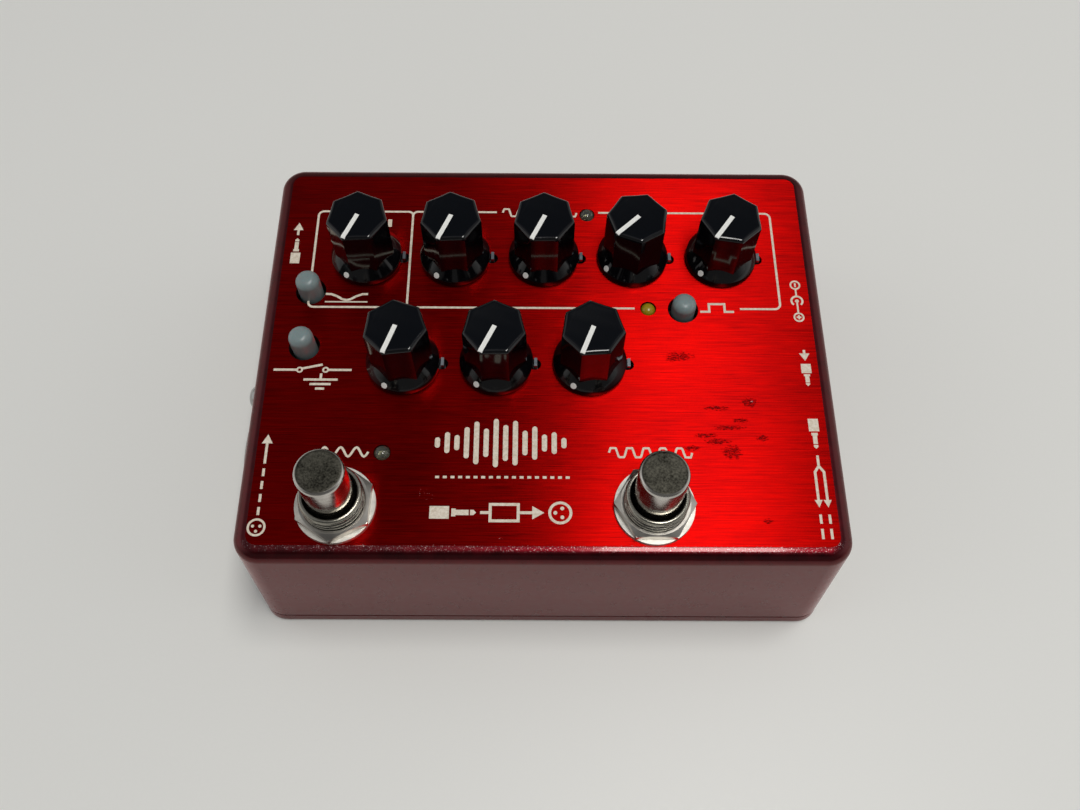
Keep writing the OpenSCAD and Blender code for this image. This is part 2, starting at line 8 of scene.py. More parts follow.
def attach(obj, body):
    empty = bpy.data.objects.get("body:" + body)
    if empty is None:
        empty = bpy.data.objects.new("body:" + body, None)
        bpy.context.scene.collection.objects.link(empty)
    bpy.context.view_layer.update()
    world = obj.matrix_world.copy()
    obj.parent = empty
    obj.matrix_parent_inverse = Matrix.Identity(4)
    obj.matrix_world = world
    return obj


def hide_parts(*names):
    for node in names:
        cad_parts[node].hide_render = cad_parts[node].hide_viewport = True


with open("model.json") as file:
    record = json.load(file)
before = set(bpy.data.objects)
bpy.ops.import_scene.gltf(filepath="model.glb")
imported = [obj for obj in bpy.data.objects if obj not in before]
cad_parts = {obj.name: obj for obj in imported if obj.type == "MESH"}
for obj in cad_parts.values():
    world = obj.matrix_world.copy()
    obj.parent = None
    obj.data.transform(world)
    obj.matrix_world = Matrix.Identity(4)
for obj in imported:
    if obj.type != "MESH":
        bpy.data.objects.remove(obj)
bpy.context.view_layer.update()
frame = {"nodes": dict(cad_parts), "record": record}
nodes = frame["nodes"]

MM = 0.001

# ---- Sizes shared with the CAD model, in millimetres ----
BOX_W, BOX_D, BOX_H = 119.5, 94.0, 38.0
# each wall leans in by DRAFT between the base and the top
DRAFT = 1.95
LEAN = math.atan(DRAFT / BOX_H)
CORNER_R, EDGE_R, WALL, COVER_H = 5.0, 2.8, 2.4, 3.6
PANEL = BOX_H
UNDER = BOX_H - WALL

# knobs: for each row the first x, the y and the turn of every pointer in degrees
KNOB_PITCH, KNOB_H = 18.65, 14.9
KNOB_ROWS = {"upper": (-2 * KNOB_PITCH, 21.0, (-113, -113, -115, -136.5, -125)),
             "lower": (-28.1, -4.4, (-109, -115, -111))}
KNOBS = {f"{row}_{i + 1}": (x + i * KNOB_PITCH, y, turn)
         for row, (x, y, turns) in KNOB_ROWS.items() for i, turn in enumerate(turns)}
# push caps and foot switches: x, y; indicators: x, y and how far each lens stands proud
PUSH = ((-48.4, 12.6), (-48.4, -0.6), (28.8, 8.6))
LEDS = ((-31.05, -23.8, 0.9), (9.35, 32.4, 0.9), (21.6, 8.8, 0.6))
FEET = ((-38.9, -34.7), (20.8, -34.7))
# sockets: side (-1 left, 1 right), y and z; then the radius of each one's hole
XLR = (-1, -20.0, 20.0)
JACK_HOLE, DC_HOLE, XLR_HOLE = 4.85, 5.6, 11.9
SOCKETS = ((-1, 24.7, 17.5, JACK_HOLE), (1, -4.9, 17.5, JACK_HOLE), (1, -28.6, 17.5, JACK_HOLE),
           (1, 10.8, 17.5, DC_HOLE), (*XLR, XLR_HOLE))
SHAFT_HOLE, PUSH_HOLE, LAMP_HOLE, FOOT_HOLE = 3.6, 3.05, 1.65, 6.15
# foot switches: bore and thread of the bushing, height of the can below the panel
BORE_R, THREAD_R, THREAD_PITCH, CAN_R, CAN_H = 4.75, 5.98, 1.2, 7.0, 17.4


def half_w(z):
    return BOX_W / 2 - DRAFT * z / BOX_H


def half_d(z):
    return BOX_D / 2 - DRAFT * z / BOX_H


# ---- Mesh helpers ----
def make_object(name, verts, faces):
    """Object from points in millimetres, its faces turned outward."""
    mesh = bpy.data.meshes.new(name)
    mesh.from_pydata([tuple(c * MM for c in v) for v in verts], [], faces)
    mesh.validate()
    obj = bpy.data.objects.new(name, mesh)
    bpy.context.scene.collection.objects.link(obj)
    bm = bmesh.new()
    bm.from_mesh(mesh)
    bmesh.ops.recalc_face_normals(bm, faces=bm.faces)
    bm.to_mesh(mesh)
    bm.free()
    return obj


def shade(obj, angle):
    obj.data.shade_smooth()
    obj.data.set_sharp_from_angle(angle=math.radians(angle))
    return obj


def apply_modifiers(obj):
    """Swaps the mesh for its evaluated one and drops the modifiers."""
    dg = bpy.context.evaluated_depsgraph_get()
    mesh = bpy.data.meshes.new_from_object(obj.evaluated_get(dg))
    old = obj.data
    obj.modifiers.clear()
    obj.data = mesh
    mesh.name = obj.name
    bpy.data.meshes.remove(old)
    return obj


def weighted(obj):
    mod = obj.modifiers.new("weighted", "WEIGHTED_NORMAL")
    mod.keep_sharp = True
    mod.weight = 100
    mod.mode = "FACE_AREA"
    return apply_modifiers(obj)


def rounded_ring(hx, hy, r, z, n=12):
    """Rectangle of half sizes hx, hy with corner radius r, at height z."""
    ring = []
    for k, (sx, sy) in enumerate(((1, 1), (-1, 1), (-1, -1), (1, -1))):
        for j in range(n + 1):
            a = math.radians(90 * k + 90 * j / n)
            ring.append((sx * (hx - r) + r * math.cos(a), sy * (hy - r) + r * math.sin(a), z))
    return ring


def loft(rings, cap_start=True, cap_end=True, close=False):
    """Skin over rings of equal length; close joins the last ring to the first."""
    n = len(rings[0])
    verts = [p for ring in rings for p in ring]
    faces = []
    last = len(rings) if close else len(rings) - 1
    for i in range(last):
        a, b = i * n, (i + 1) % len(rings) * n
        for k in range(n):
            m = (k + 1) % n
            faces.append((a + k, a + m, b + m, b + k))
    if not close and cap_start:
        faces.append(tuple(reversed(range(n))))
    if not close and cap_end:
        faces.append(tuple(range((len(rings) - 1) * n, len(rings) * n)))
    return verts, faces


def around(r, z, segments):
    """Points of a circle round Z."""
    return [(r * math.cos(2 * math.pi * k / segments), r * math.sin(2 * math.pi * k / segments), z)
            for k in range(segments)]


def lathe(profile, segments=64):
    """Closed solid of revolution round Z; the profile runs from the axis to the axis."""
    verts, faces = [], []
    rows = []
    for r, z in profile:
        if r < 1e-6:
            rows.append([len(verts)])
            verts.append((0, 0, z))
        else:
            rows.append(list(range(len(verts), len(verts) + segments)))
            verts += around(r, z, segments)
    for a, b in zip(rows, rows[1:]):
        for k in range(segments):
            m = (k + 1) % segments
            if len(a) == 1 and len(b) == 1:
                continue
            if len(a) == 1:
                faces.append((a[0], b[k], b[m]))
            elif len(b) == 1:
                faces.append((a[k], b[0], a[m]))
            else:
                faces.append((a[k], b[k], b[m], a[m]))
    return verts, faces


def tube_lathe(profile, segments=72):
    """Closed ring of revolution: the profile is a closed loop away from the axis."""
    n = len(profile)
    verts, faces = [], []
    for k in range(segments):
        a = 2 * math.pi * k / segments
        verts += [(r * math.cos(a), r * math.sin(a), z) for r, z in profile]
    for k in range(segments):
        m = (k + 1) % segments
        for i in range(n):
            j = (i + 1) % n
            faces.append((k * n + i, m * n + i, m * n + j, k * n + j))
    return verts, faces


def merge(parts):
    verts, faces = [], []
    for v, f in parts:
        base = len(verts)
        verts += list(v)
        faces += [tuple(base + i for i in face) for face in f]
    return verts, faces


def moved(part, dx, dy):
    return [(x + dx, y + dy, z) for x, y, z in part[0]], part[1]


def on_side(part, side, y, z):
    """Stands a part on the outer face of a side wall, its +Z out of the wall."""
    a = side * (math.pi / 2 - LEAN)
    m = Matrix.Translation((side * half_w(z), y, z)) @ Matrix.Rotation(a, 4, "Y")
    return [tuple(m @ Vector(v)) for v in part[0]], part[1]


def cylinder(r, z0, z1, segments=48):
    return lathe([(0, z0), (r, z0), (r, z1), (0, z1)], segments)


def cut(obj, parts):
    """Takes the parts out of the object."""
    cutter = make_object(obj.name + "_cutter", *merge(parts))
    mod = obj.modifiers.new("cut", "BOOLEAN")
    mod.operation = "DIFFERENCE"
    mod.solver = "EXACT"
    mod.object = cutter
    apply_modifiers(obj)
    mesh = cutter.data
    bpy.data.objects.remove(cutter)
    bpy.data.meshes.remove(mesh)
    return obj


# ---- Node material helpers ----
class Nodes:
    """Builds one material's node tree; lengths in it are metres unless a method says otherwise."""

    def __init__(self, name):
        self.m = bpy.data.materials.new(name)
        self.m.use_nodes = True
        self.t = self.m.node_tree
        self.bsdf = next(n for n in self.t.nodes if n.type == "BSDF_PRINCIPLED")
        self.coord = self.t.nodes.new("ShaderNodeTexCoord").outputs["Object"]
        self._xyz = None

    def new(self, kind, **props):
        n = self.t.nodes.new(kind)
        for k, v in props.items():
            setattr(n, k, v)
        return n

    def put(self, socket, value):
        if hasattr(value, "is_output"):
            self.t.links.new(value, socket)
        else:
            socket.default_value = value

    def math(self, op, a, b=0.0, c=0.0, clamp=False):
        n = self.new("ShaderNodeMath", operation=op, use_clamp=clamp)
        for s, v in zip(n.inputs, (a, b, c)):
            self.put(s, v)
        return n.outputs[0]

    def xyz(self):
        if self._xyz is None:
            n = self.new("ShaderNodeSeparateXYZ")
            self.put(n.inputs[0], self.coord)
            self._xyz = n.outputs
        return self._xyz

    def stretched(self, scale, rotation=(0, 0, 0)):
        n = self.new("ShaderNodeMapping")
        self.put(n.inputs["Vector"], self.coord)
        n.inputs["Scale"].default_value = scale
        n.inputs["Rotation"].default_value = rotation
        return n.outputs[0]

    def noise(self, scale, detail=3.0, rough=0.5, vector=None):
        n = self.new("ShaderNodeTexNoise")
        self.put(n.inputs["Vector"], vector if vector is not None else self.coord)
        n.inputs["Scale"].default_value = scale
        n.inputs["Detail"].default_value = detail
        n.inputs["Roughness"].default_value = rough
        return n.outputs["Fac"]

    def span(self, value, lo, hi, to_lo=0.0, to_hi=1.0, smooth=False):
        """Maps lo..hi to to_lo..to_hi, held at the ends."""
        n = self.new("ShaderNodeMapRange", clamp=True)
        n.interpolation_type = "SMOOTHSTEP" if smooth else "LINEAR"
        self.put(n.inputs["Value"], value)
        for k, v in (("From Min", lo), ("From Max", hi), ("To Min", to_lo), ("To Max", to_hi)):
            n.inputs[k].default_value = v
        return n.outputs["Result"]

    def mix(self, fac, a, b):
        n = self.new("ShaderNodeMix", data_type="RGBA")
        self.put(n.inputs[0], fac)
        for s, v in ((n.inputs[6], a), (n.inputs[7], b)):
            self.put(s, (*v, 1.0) if isinstance(v, tuple) else v)
        return n.outputs[2]

    def mixf(self, fac, a, b):
        n = self.new("ShaderNodeMix", data_type="FLOAT")
        self.put(n.inputs[0], fac)
        self.put(n.inputs[2], a)
        self.put(n.inputs[3], b)
        return n.outputs[0]

    def bump(self, height, strength, distance):
        n = self.new("ShaderNodeBump")
        n.inputs["Strength"].default_value = strength
        n.inputs["Distance"].default_value = distance
        self.put(n.inputs["Height"], height)
        return n.outputs[0]

    def set(self, **values):
        """Sets or links the shader's sockets, named with _ for a space."""
        for k, v in values.items():
            s = self.bsdf.inputs[k.replace("_", " ")]
            self.put(s, (*v, 1.0) if isinstance(v, tuple) and s.type == "RGBA" else v)

    def spot(self, x, y, rx, ry):
        """1 at a point of the panel, falling to 0 at the given radii, in millimetres."""
        px, py, _ = self.xyz()
        dx = self.math("MULTIPLY_ADD", px, 1000.0 / rx, -x / rx)
        dy = self.math("MULTIPLY_ADD", py, 1000.0 / ry, -y / ry)
        d = self.math("ADD", self.math("MULTIPLY", dx, dx), self.math("MULTIPLY", dy, dy))
        return self.math("SUBTRACT", 1.0, d, clamp=True)


def plain(name, colour, rough, metallic=0.0, grain=900.0, vary=0.12, bump=0.15, depth=2e-5,
          rough_vary=0.08, **extra):
    """A finish with fine grain, a slow change of tone and uneven gloss."""
    n = Nodes(name)
    slow = n.noise(60.0, 2.0)
    fine = n.noise(grain, 4.0, 0.6)
    both = n.math("MULTIPLY_ADD", fine, 0.6, n.math("MULTIPLY", slow, 0.4))
    dark = tuple(c * (1 - vary) for c in colour)
    light = tuple(min(1.0, c * (1 + vary)) for c in colour)
    n.set(Base_Color=n.mix(n.span(both, 0.35, 0.65), dark, light), Metallic=metallic,
          Roughness=n.span(both, 0.3, 0.7, rough - rough_vary, rough + rough_vary),
          Normal=n.bump(fine, bump, depth))
    n.set(**extra)
    return n.m


def brushed(name, colour, rough, axis="X", strength=0.25):
    """Machined or plated metal with fine lines along one axis and hairline scratches."""
    n = Nodes(name)
    scale = {"X": (60, 2600, 2600), "Y": (2600, 60, 2600), "Z": (2600, 2600, 60)}[axis]
    lines = n.noise(1.0, 3.0, 0.6, n.stretched(scale))
    scratch = n.noise(1.0, 2.0, 0.5, n.stretched((220, 5200, 220), (0.3, 0.5, 0.7)))
    marks = n.span(scratch, 0.66, 0.74)
    tone = n.span(n.noise(140.0, 4.0, 0.65), 0.35, 0.7)
    worn = tuple(c * 0.6 for c in colour)
    n.set(Base_Color=n.mix(tone, colour, worn), Metallic=1.0,
          Roughness=n.span(n.math("ADD", lines, marks), 0.3, 1.1, rough - 0.06, rough + 0.14),
          Normal=n.bump(n.math("ADD", lines, marks), strength, 1.2e-5))
    return n.m


# ---- Materials ----
# wear of the panel: x, y and radii of each patch, in millimetres
SCUFFS = ((27.4, -2.4, 5.2, 1.9), (26.0, -2.9, 2.6, 1.4), (40.7, -12.7, 3.2, 2.0), (38.6, -16.6, 3.6, 1.1),
          (36.4, -23.4, 3.6, 2.8), (33.8, -21.2, 5.0, 1.2), (31.5, -19.9, 4.2, 1.1), (42.5, -20.4, 2.2, 1.3),
          (28.6, -22.6, 3.2, 1.1), (36.2, -18.2, 6.0, 1.0), (42.0, -37.4, 1.8, 1.0), (34.0, -14.0, 5.0, 1.0))
CHIPS = ((27.7, -2.3, 1.5, 0.45), (40.9, -12.5, 1.5, 0.8), (-22.2, -32.4, 4.4, 3.0),
         (-38.4, -3.7, 1.2, 0.7), (-35.0, -18.0, 0.9, 0.5), (-8.0, -41.0, 1.4, 0.5))
FRONT_CREASE = -0.0419


def candy_panel():
    """Candy red over metal brushed along X, the wear of the playing side, and painted highlight specks on the
    front crease.
    """
    n = Nodes("candy_panel")
    _, py, _ = n.xyz()
    lines = n.noise(1.0, 3.0, 0.62, n.stretched((65, 3900, 1)))
    hair = n.noise(1.0, 2.0, 0.5, n.stretched((190, 9500, 1)))
    blotch = n.noise(34.0, 3.0, 0.6)
    grain = n.math("MULTIPLY_ADD", hair, 0.45, n.math("MULTIPLY", lines, 0.55))
    tint = n.span(n.math("MULTIPLY_ADD", blotch, 0.22, n.math("MULTIPLY", grain, 0.78)), 0.37, 0.63)
    colour = n.mix(tint, (0.16, 0.0012, 0.0016), (0.50, 0.0020, 0.0012))
    rag = n.noise(2600.0, 4.0, 0.7)
    rag_x = n.noise(1.0, 4.0, 0.75, n.stretched((1300, 4300, 1)))
    scuffs = 0.0
    for patch in SCUFFS:
        scuffs = n.math("MAXIMUM", scuffs, n.spot(*patch))
    dark = n.span(n.math("MULTIPLY", n.math("POWER", scuffs, 0.6), rag_x), 0.46, 0.56)
    # painted highlight: pale specks along the front edge of the flat stand for the glint on the crease; the
    # CHIPS spots are chipped paint
    chips_and_crease_glint = n.span(py, FRONT_CREASE, FRONT_CREASE - 0.00032, 0.0, 0.9)
    for patch in CHIPS:
        chips_and_crease_glint = n.math("MAXIMUM", chips_and_crease_glint, n.spot(*patch))
    bare_and_glint = n.span(n.math("MULTIPLY", n.math("POWER", chips_and_crease_glint, 0.5), rag), 0.60, 0.66)
    colour = n.mix(n.math("MULTIPLY", dark, 0.7), colour, (0.030, 0.003, 0.004))
    colour = n.mix(bare_and_glint, colour, (0.62, 0.48, 0.48))
    tangent = n.new("ShaderNodeCombineXYZ")
    tangent.inputs[1].default_value = 1.0
    height = n.math("SUBTRACT", grain, n.math("MULTIPLY", n.math("MAXIMUM", bare_and_glint, dark), 0.8))
    n.set(Base_Color=colour, Metallic=1.0, Roughness=n.span(grain, 0.3, 0.7, 0.36, 0.43),
          Normal=n.bump(height, 0.55, 2.2e-5), Anisotropic=1.0, Tangent=tangent.outputs[0])
    return n.m


def candy_wall():
    """The same red as the panel, painted darker here as painted shade, smooth and under clear lacquer, on the
    walls and rounded edges.
    """
    n = Nodes("candy_wall")
    _, py, pz = n.xyz()
    tone = n.span(n.noise(420.0, 3.0), 0.35, 0.65)
    # painted shade: this red is far darker than the panel's, for the dim look of the steep walls
    colour = n.mix(tone, (0.080, 0.0012, 0.004), (0.105, 0.002, 0.006))
    # painted highlight: pale specks along the front top edge; the low specks are nicks
    crease = n.math("MULTIPLY", n.span(pz, 0.03770, 0.03795), n.span(py, -0.0410, -0.0418))
    crease_glint_specks = n.span(n.noise(3400.0, 3.0, 0.8), 0.58, 0.66)
    low_nick = n.math("MULTIPLY", n.span(n.noise(620.0, 4.0, 0.75), 0.765, 0.80), 0.5)
    bare_and_glint = n.math("MAXIMUM", n.math("MULTIPLY", crease, crease_glint_specks), low_nick)
    peel = n.noise(260.0, 2.0, 0.4)
    n.set(Base_Color=n.mix(bare_and_glint, colour, (0.5, 0.36, 0.36)), Metallic=1.0,
          Roughness=n.mixf(bare_and_glint, n.span(tone, 0.0, 1.0, 0.27, 0.34), 0.45),
          Normal=n.bump(n.math("SUBTRACT", peel, bare_and_glint), 0.12, 2e-5),
          Specular_Tint=(0.6, 0.12, 0.12), Coat_Weight=0.62, Coat_Roughness=0.07, Coat_IOR=1.5,
          Coat_Normal=n.bump(peel, 0.06, 3e-5))
    return n.m


def knob_gloss():
    """Polished black moulding of a knob's sides and skirt, with dust and rub marks."""
    n = Nodes("knob_gloss")
    dust = n.span(n.noise(900.0, 5.0, 0.75), 0.62, 0.72)
    rub = n.span(n.noise(1.0, 2.0, 0.5, n.stretched((2600, 160, 400), (0.9, 0.4, 0.2))), 0.70, 0.78)
    marks = n.math("MAXIMUM", dust, n.math("MULTIPLY", rub, 0.6))
    n.set(Base_Color=n.mix(marks, (0.0022, 0.0022, 0.003), (0.012, 0.012, 0.015)),
          Roughness=n.span(marks, 0.0, 1.0, 0.10, 0.27), Normal=n.bump(marks, 0.1, 8e-6), IOR=1.5)
    return n.m


def knob_cap():
    """Fine satin grain of a knob's top."""
    n = Nodes("knob_cap")
    fine = n.noise(5200.0, 3.0, 0.6)
    scratch = n.span(n.noise(1.0, 2.0, 0.5, n.stretched((160, 2600, 400), (0.2, 0.1, 0.9))), 0.68, 0.76)
    n.set(Base_Color=n.mix(n.span(fine, 0.35, 0.65), (0.0004, 0.0009, 0.0020), (0.0010, 0.0020, 0.0044)),
          Roughness=n.span(scratch, 0.0, 1.0, 0.33, 0.5), Normal=n.bump(fine, 0.3, 1.2e-5),
          Specular_IOR_Level=0.13, IOR=1.5)
    return n.m


def grained_metal():
    """Foot switch button: dull blasted top, polished side with fine turning lines."""
    n = Nodes("grained_metal")
    top = n.span(n.xyz()[2], 0.05508, 0.05526, smooth=True)
    grain = n.noise(2500.0, 3.0, 0.8)
    patch = n.noise(300.0, 3.0, 0.6)
    turned = n.noise(1.0, 2.0, 0.5, n.stretched((40, 40, 5200)))
    cap = n.mix(n.span(n.math("MULTIPLY_ADD", patch, 0.35, n.math("MULTIPLY", grain, 0.65)), 0.36, 0.64),
                (0.008, 0.0075, 0.006), (0.105, 0.10, 0.08))
    side = n.mix(n.span(patch, 0.4, 0.7), (0.62, 0.59, 0.55), (0.46, 0.43, 0.39))
    n.set(Base_Color=n.mix(top, side, cap), Metallic=1.0,
          Roughness=n.mixf(top, n.span(turned, 0.3, 0.7, 0.09, 0.2), 0.52),
          Normal=n.bump(n.math("MULTIPLY_ADD", n.math("MULTIPLY", grain, top), 1.0,
                               n.math("MULTIPLY", turned, 0.12)), 0.5, 5e-5))
    return n.m


def lens(name, colour, transmission, rough):
    """Slightly cloudy cast resin of an indicator."""
    n = Nodes(name)
    cloud = n.noise(500.0, 2.0)
    tint = tuple(c * 0.88 for c in colour)
    n.set(Base_Color=n.mix(cloud, colour, tint), Roughness=n.span(cloud, 0.3, 0.7, rough, rough + 0.06),
          Normal=n.bump(cloud, 0.05, 1e-5), Transmission_Weight=transmission, IOR=1.53)
    return n.m


def cream_ink():
    """Worn screen-print ink."""
    n = Nodes("cream_ink")
    speck = n.noise(1500.0, 4.0, 0.65)
    n.set(Base_Color=n.mix(n.span(speck, 0.35, 0.62), (0.66, 0.56, 0.43), (0.86, 0.78, 0.66)),
          Roughness=n.span(speck, 0.3, 0.7, 0.42, 0.6), Normal=n.bump(speck, 0.2, 1e-5))
    return n.m


def printed_jacket():
    """Battery jacket: a dark band at the stud end of a plain coloured sleeve."""
    n = Nodes("printed_jacket")
    scuff = n.span(n.noise(700.0, 4.0, 0.7), 0.6, 0.75)
    band = n.mix(n.span(n.xyz()[0], 0.0040, 0.0042), (0.62, 0.22, 0.03), (0.02, 0.02, 0.022))
    n.set(Base_Color=n.mix(scuff, band, (0.4, 0.38, 0.34)), Metallic=0.4,
          Roughness=n.mixf(scuff, 0.32, 0.5), Normal=n.bump(scuff, 0.15, 1e-5))
    return n.m


def desk_material():
    """Pale satin laminate."""
    n = Nodes("desk_laminate")
    fine = n.noise(1400.0, 3.0, 0.6)
    slow = n.noise(5.0, 2.0, 0.5)
    both = n.math("MULTIPLY_ADD", slow, 0.6, n.math("MULTIPLY", fine, 0.4))
    n.set(Base_Color=n.mix(both, (0.86, 0.86, 0.83), (0.91, 0.91, 0.88)),
          Roughness=n.span(fine, 0.3, 0.7, 0.42, 0.52), Normal=n.bump(fine, 0.08, 3e-5))
    return n.m


# finish of every material slot of the record
M = {
    "red_case": candy_wall(),
    "zinc_screw": brushed("zinc_screw", (0.60, 0.60, 0.585), 0.22, "X", 0.15),
    "circuit_board": plain("circuit_board", (0.012, 0.13, 0.05), 0.30, grain=400, vary=0.35, bump=0.3,
                           depth=4e-5),
    "black_moulding": plain("black_moulding", (0.014, 0.014, 0.016), 0.42, grain=2600, vary=0.3, bump=0.3),
    "capacitor_sleeve": plain("capacitor_sleeve", (0.012, 0.02, 0.075), 0.28, grain=300, vary=0.2),
    "film_coating": plain("film_coating", (0.50, 0.24, 0.035), 0.25, grain=350, vary=0.2, bump=0.4,
                          depth=6e-5),
    "resistor_body": plain("resistor_body", (0.42, 0.33, 0.2), 0.45, grain=800, vary=0.2),
    "potentiometer_can": brushed("potentiometer_can", (0.36, 0.40, 0.43), 0.34, "X", 0.2),
    "nickel_hardware": brushed("nickel_hardware", (0.60, 0.57, 0.51), 0.20, "X", 0.35),
    "footswitch_metal": grained_metal(),
    "clear_lens": lens("clear_lens", (0.93, 0.95, 0.86), 0.95, 0.04),
    "yellow_lens": lens("yellow_lens", (0.52, 0.38, 0.01), 0.30, 0.22),
    "jack_moulding": plain("jack_moulding", (0.018, 0.018, 0.02), 0.36, grain=2200, vary=0.25, bump=0.25),
    "contact_brass": brushed("contact_brass", (0.72, 0.53, 0.26), 0.28, "Y", 0.2),
    "xlr_zinc": brushed("xlr_zinc", (0.44, 0.43, 0.41), 0.30, "Z", 0.3),
    "battery_jacket": printed_jacket(),
    "foam": plain("foam", (0.035, 0.035, 0.038), 0.9, grain=1700, vary=0.5, bump=0.9, depth=2e-4,
                  rough_vary=0.05),
    "wire_insulation": plain("wire_insulation", (0.42, 0.03, 0.025), 0.33, grain=900, vary=0.12),
    "knob_black": knob_gloss(),
    "button_grey": plain("button_grey", (0.215, 0.275, 0.28), 0.34, grain=1900, vary=0.06, bump=0.12,
                         depth=1.5e-5, rough_vary=0.05, Subsurface_Weight=0.15, Subsurface_Scale=0.0015),
    "white_nylon": plain("white_nylon", (0.72, 0.72, 0.69), 0.45, grain=1200, vary=0.06),
}
# finishes of pieces and faces that are only in this model
PANEL_RED = candy_panel()
KNOB_CAP = knob_cap()
INK = cream_ink()
POINTER = plain("pointer_white", (0.90, 0.90, 0.865), 0.45, grain=2400, vary=0.08, bump=0.25, depth=1e-5)
WORN_THREAD = brushed("worn_bushing", (0.42, 0.40, 0.34), 0.26, "X", 0.35)
# painted shade: near-black finish for the thread grooves
GROOVE_SHADE = plain("painted_thread_shade", (0.016, 0.015, 0.013), 0.6, grain=2600, vary=0.4)
DIE = plain("lamp_cup", (0.10, 0.095, 0.055), 0.28, metallic=0.8, grain=1500, vary=0.35)

for part in frame["record"]["subparts"]:
    obj = nodes[part["node"]]
    obj.data.materials.clear()
    obj.data.materials.append(M[part["material_slot"]])
for name, finish in (("footswitch_washers", brushed("worn_washer", (0.86, 0.83, 0.76), 0.50, "X", 0.4)),
                     ("footswitch_nuts", brushed("worn_nut", (0.58, 0.55, 0.50), 0.33, "Y", 0.45))):
    nodes[name].data.materials[0] = finish


def dress(obj, material, body="root"):
    """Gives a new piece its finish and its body."""
    obj.data.materials.clear()
    obj.data.materials.append(material)
    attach(obj, body)


def dress_faces(obj, material, chosen):
    """Gives the chosen faces a second finish."""
    obj.data.materials.append(material)
    for face in obj.data.polygons:
        if chosen(face):
            face.material_index = 1


# ---- Case ----
def case_walls():
    """Drafted shell, open below, with a rounded top edge and a small step above the cover."""
    step, middle_z, arc_steps = 0.25, 20, 12
    edge_z = BOX_H - EDGE_R
    rings = [rounded_ring(half_w(COVER_H) - step, half_d(COVER_H) - step, CORNER_R - step, COVER_H),
             rounded_ring(half_w(COVER_H + step), half_d(COVER_H + step), CORNER_R, COVER_H + step),
             rounded_ring(half_w(middle_z), half_d(middle_z), CORNER_R, middle_z)]
    for k in range(arc_steps + 1):
        a = math.radians(90 * k / arc_steps)
        inset = EDGE_R * (1 - math.cos(a))
        rings.append(rounded_ring(half_w(edge_z) - inset, half_d(edge_z) - inset, CORNER_R - inset,
                                  edge_z + EDGE_R * math.sin(a)))
    hollow = [rounded_ring(half_w(z) - WALL, half_d(z) - WALL, CORNER_R - WALL, z) for z in (UNDER, COVER_H)]
    verts, faces = merge([loft(rings, cap_start=False), loft(hollow, cap_end=False)])
    n = len(rings[0])
    lip = len(verts) - n
    faces += [(k, (k + 1) % n, lip + (k + 1) % n, lip + k) for k in range(n)]
    return verts, faces


def tab_slot(x, y):
    """Cutter of the slot for a potentiometer's locating tab, right of its shaft."""
    slot_x, half_x, half_y = 7.375, 1.575, 1.2
    outline = rounded_ring(half_x, half_y, half_y - 0.001, 0, 6)
    return loft([[(px + x + slot_x, py + y, z) for px, py, _ in outline] for z in (UNDER - 1, PANEL + 1)])


def case_holes():
    """Cutters of all holes; the push caps' holes are flared at the top."""
    low, high, flare = UNDER - 1, PANEL + 1, 0.3
    cuts = []
    for x, y, _ in KNOBS.values():
        cuts += [moved(cylinder(SHAFT_HOLE, low, high), x, y), tab_slot(x, y)]
    push_hole = lathe([(0, low), (PUSH_HOLE, low), (PUSH_HOLE, PANEL - 0.12),
                       (PUSH_HOLE + 0.35, PANEL + flare), (0, PANEL + flare)])
    cuts += [moved(push_hole, x, y) for x, y in PUSH]
    cuts += [moved(cylinder(LAMP_HOLE, low, high, 32), x, y) for x, y, _ in LEDS]
    cuts += [moved(cylinder(FOOT_HOLE, low, high), x, y) for x, y in FEET]
    cuts += [on_side(cylinder(r, -WALL - 2, 4, 72), *place) for *place, r in SOCKETS]
    screw_hole = cylinder(1.6, -WALL - 2, 2, 24)
    cuts += [on_side(moved(screw_hole, s * 9.5, s * 12), *XLR) for s in (-1, 1)]
    return cuts


def build_case():
    case = make_object("case_shell", *case_walls())
    cut(case, case_holes())
    weighted(shade(case, 30))
    dress(case, M["red_case"])
    dress_faces(case, PANEL_RED, lambda f: f.normal.z > 0.999 and f.center.z > (PANEL - 0.05) * MM)
    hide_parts("enclosure")


def build_base_plate():
    """Cover with a rounded lower edge, an upstanding rim and countersinks for its four screws."""
    edge, arc_steps, rim, floor_z = 1.0, 6, 4.2, 2.4
    rings = []
    for k in range(arc_steps + 1):
        a = math.radians(90 - 90 * k / arc_steps)
        inset = edge * (1 - math.cos(a))
        rings.append(rounded_ring(half_w(0) - inset, half_d(0) - inset, CORNER_R - inset,
                                  edge * (1 - math.sin(a))))
    for inset, r, z in ((0.02, CORNER_R, COVER_H - 0.42), (0.24, CORNER_R - 0.22, COVER_H - 0.2),
                        (rim, 2.0, COVER_H - 0.2), (rim, 2.0, floor_z)):
        rings.append(rounded_ring(half_w(COVER_H) - inset, half_d(COVER_H) - inset, r, z))
    plate = make_object("base_plate", *loft(rings))
    sink = lathe([(0, -1), (3.45, -1), (3.45, 0.3), (1.65, 2.12), (1.65, 6), (0, 6)], 48)
    from_edge = 7
    cut(plate, [moved(sink, sx * (BOX_W / 2 - from_edge), sy * (BOX_D / 2 - from_edge))
                for sx in (-1, 1) for sy in (-1, 1)])
    weighted(shade(plate, 30))
    dress(plate, M["red_case"])
    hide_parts("base_cover")


